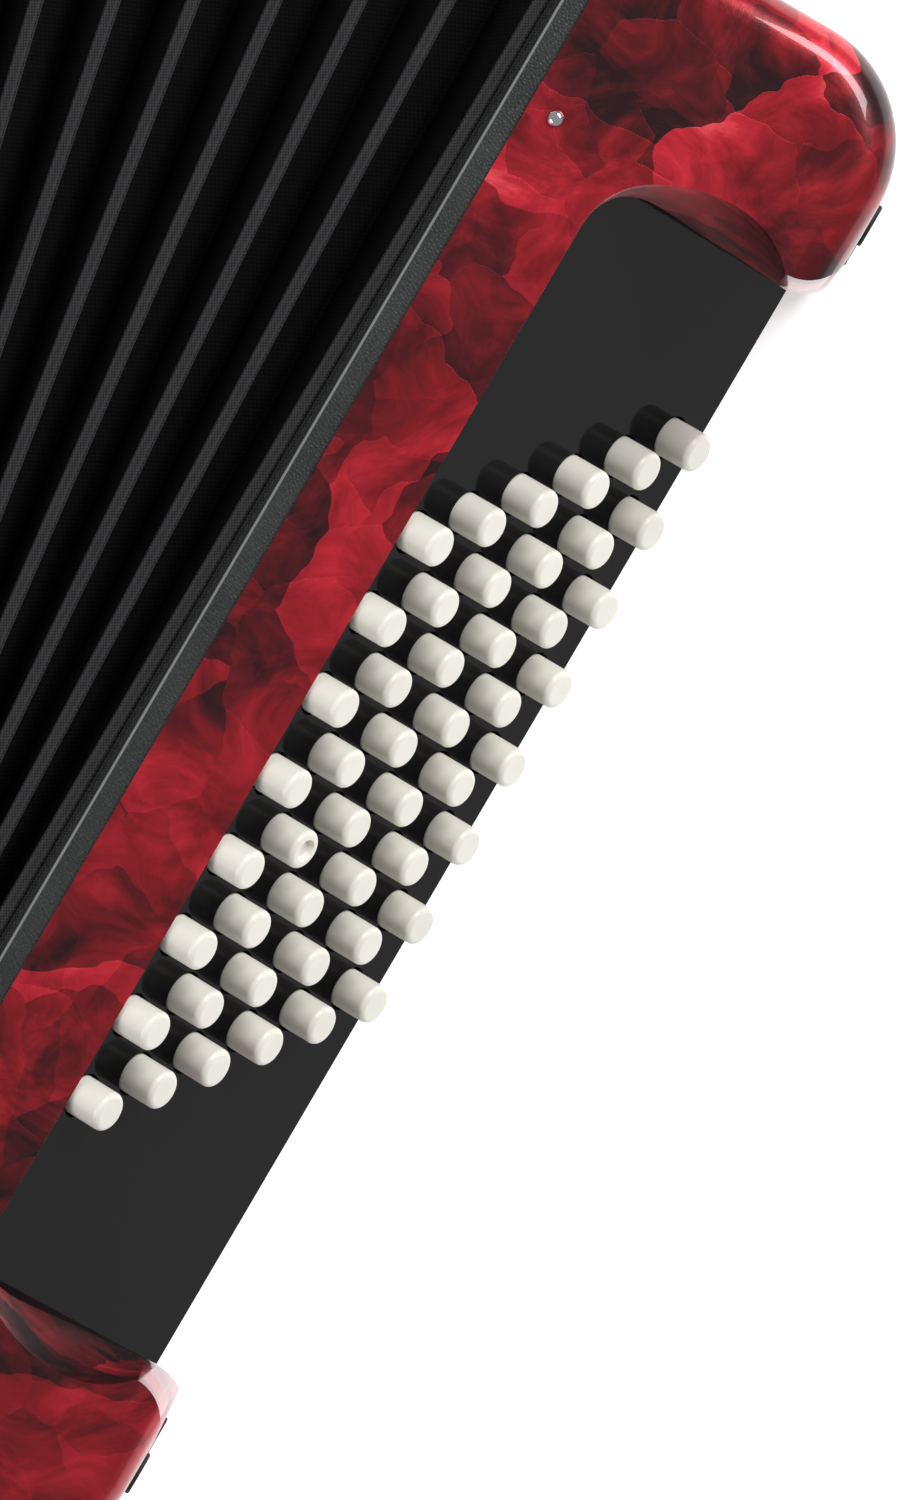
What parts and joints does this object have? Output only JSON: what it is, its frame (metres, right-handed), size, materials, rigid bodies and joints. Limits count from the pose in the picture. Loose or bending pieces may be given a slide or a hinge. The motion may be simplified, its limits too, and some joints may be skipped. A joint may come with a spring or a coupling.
{
  "type": "button accordion",
  "caption": "Button accordion lying on its back, bellows fanned open, red casing, rows of round buttons at both ends, strap on the bass side.",
  "frame": {"origin": "middle of the whole object's box, on the surface that its back lies on", "axes": "+X from the treble side to the bass side, +Y to the top end of the treble casing, +Z to the front"},
  "size_m": [0.4137, 0.389, 0.1715],
  "materials": {
    "red_pearloid": "red mother-of-pearl celluloid under clear gloss",
    "black_gloss": "smooth black gloss",
    "ivory_button": "ivory white, satin",
    "white_button": "white, gloss",
    "bellows_tape": "woven black tape",
    "bellows_card": "black cloth over card",
    "black_leatherette": "black leatherette",
    "chrome": "polished",
    "steel": "ground rod",
    "aluminium": "rolled",
    "spruce": "bare softwood",
    "leather": "black leather, padded",
    "palm_black": "fine-grained black",
    "rubber": "moulded",
    "grille_cloth": "black woven cloth",
    "switch_black": "black"
  },
  "bodies": {
    "treble": {"treble_case": "red_pearloid", "treble_grille": "black_gloss", "grille_cloth": "grille_cloth", "treble_keybed": "black_gloss", "treble_soundboard": "spruce", "treble_reed_blocks": "spruce", "treble_reed_plates": "aluminium", "treble_bellows_frame": "black_leatherette", "treble_lever_shaft": "steel", "shoulder_strap_eyes": "chrome", "treble_feet": "rubber", "treble_screws": "chrome", "treble_bellows_pins": "chrome", "bellows_fold_01": "bellows_tape"},
    "treble_row_1": {"treble_buttons_row_1": "white_button", "treble_levers_row_1": "aluminium"},
    "treble_row_2": {"treble_buttons_row_2": "white_button", "treble_levers_row_2": "aluminium"},
    "treble_row_3": {"treble_buttons_row_3": "white_button", "treble_levers_row_3": "aluminium"},
    "register_1": {"register_switch_1": "switch_black"},
    "register_2": {"register_switch_2": "switch_black"},
    "register_3": {"register_switch_3": "switch_black"},
    "fold_02": {"bellows_fold_02": "bellows_tape"},
    "fold_03": {"bellows_fold_03": "bellows_tape"},
    "fold_04": {"bellows_fold_04": "bellows_tape"},
    "fold_05": {"bellows_fold_05": "bellows_tape"},
    "fold_06": {"bellows_fold_06": "bellows_tape"},
    "fold_07": {"bellows_fold_07": "bellows_tape", "bellows_pleats": "bellows_card"},
    "fold_08": {"bellows_fold_08": "bellows_tape"},
    "fold_09": {"bellows_fold_09": "bellows_tape"},
    "fold_10": {"bellows_fold_10": "bellows_tape"},
    "fold_11": {"bellows_fold_11": "bellows_tape"},
    "fold_12": {"bellows_fold_12": "bellows_tape"},
    "fold_13": {"bellows_fold_13": "bellows_tape"},
    "bass": {"bass_case": "red_pearloid", "bass_button_board": "black_gloss", "bass_roller_shafts": "steel", "bass_soundboard": "spruce", "bass_reed_blocks": "spruce", "bass_reed_plates": "aluminium", "bass_cover": "palm_black", "bass_strap": "leather", "bass_strap_brackets": "chrome", "bass_feet": "rubber", "bass_screws": "chrome", "bass_bellows_frame": "black_leatherette", "bass_bellows_pins": "chrome", "bellows_fold_14": "bellows_tape"},
    "bass_row_1": {"bass_buttons_row_1": "ivory_button"},
    "bass_row_2": {"bass_buttons_row_2": "ivory_button"},
    "bass_row_3": {"bass_buttons_row_3": "ivory_button"},
    "bass_row_4": {"bass_buttons_row_4": "ivory_button"},
    "bass_row_5": {"bass_buttons_row_5": "ivory_button"},
    "bass_row_6": {"bass_buttons_row_6": "ivory_button"},
    "strap_wheel": {"strap_wheel": "palm_black"},
    "air_button": {"air_button": "chrome"}
  },
  "joints": [
    {"name": "bellows_fan_01", "type": "hinge", "parent": "treble", "child": "fold_02", "pos_m": [-0.05501, -0.1503, 0.084], "axis": [0, 0, -1], "range_deg": [-2.33, 1.8]},
    {"name": "bellows_fan_02", "type": "hinge", "parent": "fold_02", "child": "fold_03", "pos_m": [-0.05191, -0.15043, 0.084], "axis": [0, 0, -1], "range_deg": [-2.33, 1.8]},
    {"name": "bellows_fan_03", "type": "hinge", "parent": "fold_03", "child": "fold_04", "pos_m": [-0.04882, -0.15068, 0.084], "axis": [0, 0, -1], "range_deg": [-2.33, 1.8]},
    {"name": "bellows_fan_04", "type": "hinge", "parent": "fold_04", "child": "fold_05", "pos_m": [-0.04575, -0.15106, 0.084], "axis": [0, 0, -1], "range_deg": [-2.33, 1.8]},
    {"name": "bellows_fan_05", "type": "hinge", "parent": "fold_05", "child": "fold_06", "pos_m": [-0.04269, -0.15156, 0.084], "axis": [0, 0, -1], "range_deg": [-2.33, 1.8]},
    {"name": "bellows_fan_06", "type": "hinge", "parent": "fold_06", "child": "fold_07", "pos_m": [-0.03965, -0.15219, 0.084], "axis": [0, 0, -1], "range_deg": [-2.33, 1.8]},
    {"name": "bellows_fan_07", "type": "hinge", "parent": "fold_07", "child": "fold_08", "pos_m": [-0.03664, -0.15294, 0.084], "axis": [0, 0, -1], "range_deg": [-2.33, 1.8]},
    {"name": "bellows_fan_08", "type": "hinge", "parent": "fold_08", "child": "fold_09", "pos_m": [-0.03367, -0.15382, 0.084], "axis": [0, 0, -1], "range_deg": [-2.33, 1.8]},
    {"name": "bellows_fan_09", "type": "hinge", "parent": "fold_09", "child": "fold_10", "pos_m": [-0.03073, -0.15481, 0.084], "axis": [0, 0, -1], "range_deg": [-2.33, 1.8]},
    {"name": "bellows_fan_10", "type": "hinge", "parent": "fold_10", "child": "fold_11", "pos_m": [-0.02784, -0.15592, 0.084], "axis": [0, 0, -1], "range_deg": [-2.33, 1.8]},
    {"name": "bellows_fan_11", "type": "hinge", "parent": "fold_11", "child": "fold_12", "pos_m": [-0.02499, -0.15715, 0.084], "axis": [0, 0, -1], "range_deg": [-2.33, 1.8]},
    {"name": "bellows_fan_12", "type": "hinge", "parent": "fold_12", "child": "fold_13", "pos_m": [-0.0222, -0.1585, 0.084], "axis": [0, 0, -1], "range_deg": [-2.33, 1.8]},
    {"name": "bellows_fan_13", "type": "hinge", "parent": "fold_13", "child": "bass", "pos_m": [-0.01947, -0.15996, 0.084], "axis": [0, 0, -1], "range_deg": [-2.33, 1.8], "deforming": ["bellows_pleats"]},
    {"name": "treble_row_1_press", "type": "hinge", "parent": "treble", "child": "treble_row_1", "pos_m": [-0.11686, 0.0135, 0.098], "axis": [0, -1, 0], "range_deg": [0, 4], "stiffness_Nm_per_rad": 2, "springref_deg": -5.73},
    {"name": "treble_row_2_press", "type": "hinge", "parent": "treble", "child": "treble_row_2", "pos_m": [-0.11686, 0.0135, 0.098], "axis": [0, -1, 0], "range_deg": [0, 3], "stiffness_Nm_per_rad": 2, "springref_deg": -5.73},
    {"name": "treble_row_3_press", "type": "hinge", "parent": "treble", "child": "treble_row_3", "pos_m": [-0.11686, 0.0135, 0.098], "axis": [0, -1, 0], "range_deg": [0, 2.4], "stiffness_Nm_per_rad": 2, "springref_deg": -5.73},
    {"name": "register_1_rock", "type": "hinge", "parent": "treble", "child": "register_1", "pos_m": [-0.11286, 0.0135, 0.1672], "axis": [0, -1, 0], "range_deg": [0, 8]},
    {"name": "register_2_rock", "type": "hinge", "parent": "treble", "child": "register_2", "pos_m": [-0.11286, 0.0135, 0.1672], "axis": [0, -1, 0], "range_deg": [0, 8]},
    {"name": "register_3_rock", "type": "hinge", "parent": "treble", "child": "register_3", "pos_m": [-0.11286, 0.0135, 0.1672], "axis": [0, -1, 0], "range_deg": [0, 8]},
    {"name": "bass_row_1_press", "type": "slide", "parent": "bass", "child": "bass_row_1", "axis": [-0.747, 0.4382, -0.5], "range_m": [0, 0.0032], "stiffness_N_per_m": 400, "springref_m": -0.002},
    {"name": "bass_row_2_press", "type": "slide", "parent": "bass", "child": "bass_row_2", "axis": [-0.747, 0.4382, -0.5], "range_m": [0, 0.0032], "stiffness_N_per_m": 400, "springref_m": -0.002},
    {"name": "bass_row_3_press", "type": "slide", "parent": "bass", "child": "bass_row_3", "axis": [-0.747, 0.4382, -0.5], "range_m": [0, 0.0032], "stiffness_N_per_m": 400, "springref_m": -0.002},
    {"name": "bass_row_4_press", "type": "slide", "parent": "bass", "child": "bass_row_4", "axis": [-0.747, 0.4382, -0.5], "range_m": [0, 0.0032], "stiffness_N_per_m": 400, "springref_m": -0.002},
    {"name": "bass_row_5_press", "type": "slide", "parent": "bass", "child": "bass_row_5", "axis": [-0.747, 0.4382, -0.5], "range_m": [0, 0.0032], "stiffness_N_per_m": 400, "springref_m": -0.002},
    {"name": "bass_row_6_press", "type": "slide", "parent": "bass", "child": "bass_row_6", "axis": [-0.747, 0.4382, -0.5], "range_m": [0, 0.0032], "stiffness_N_per_m": 400, "springref_m": -0.002},
    {"name": "air_button_press", "type": "slide", "parent": "bass", "child": "air_button", "axis": [-0.7255, 0.4257, 0.5408], "range_m": [0, 0.0035], "stiffness_N_per_m": 200, "springref_m": -0.002},
    {"name": "strap_wheel_turn", "type": "hinge", "parent": "bass", "child": "strap_wheel", "pos_m": [0.17459, 0.11181, 0.045], "axis": [0.506, 0.8625, 0], "continuous": true}
  ],
  "couplings": [
    {"joint": "bellows_fan_01", "follows": "bellows_fan_13", "ratio": 1},
    {"joint": "bellows_fan_02", "follows": "bellows_fan_13", "ratio": 1},
    {"joint": "bellows_fan_03", "follows": "bellows_fan_13", "ratio": 1},
    {"joint": "bellows_fan_04", "follows": "bellows_fan_13", "ratio": 1},
    {"joint": "bellows_fan_05", "follows": "bellows_fan_13", "ratio": 1},
    {"joint": "bellows_fan_06", "follows": "bellows_fan_13", "ratio": 1},
    {"joint": "bellows_fan_07", "follows": "bellows_fan_13", "ratio": 1},
    {"joint": "bellows_fan_08", "follows": "bellows_fan_13", "ratio": 1},
    {"joint": "bellows_fan_09", "follows": "bellows_fan_13", "ratio": 1},
    {"joint": "bellows_fan_10", "follows": "bellows_fan_13", "ratio": 1},
    {"joint": "bellows_fan_11", "follows": "bellows_fan_13", "ratio": 1},
    {"joint": "bellows_fan_12", "follows": "bellows_fan_13", "ratio": 1}
  ]
}
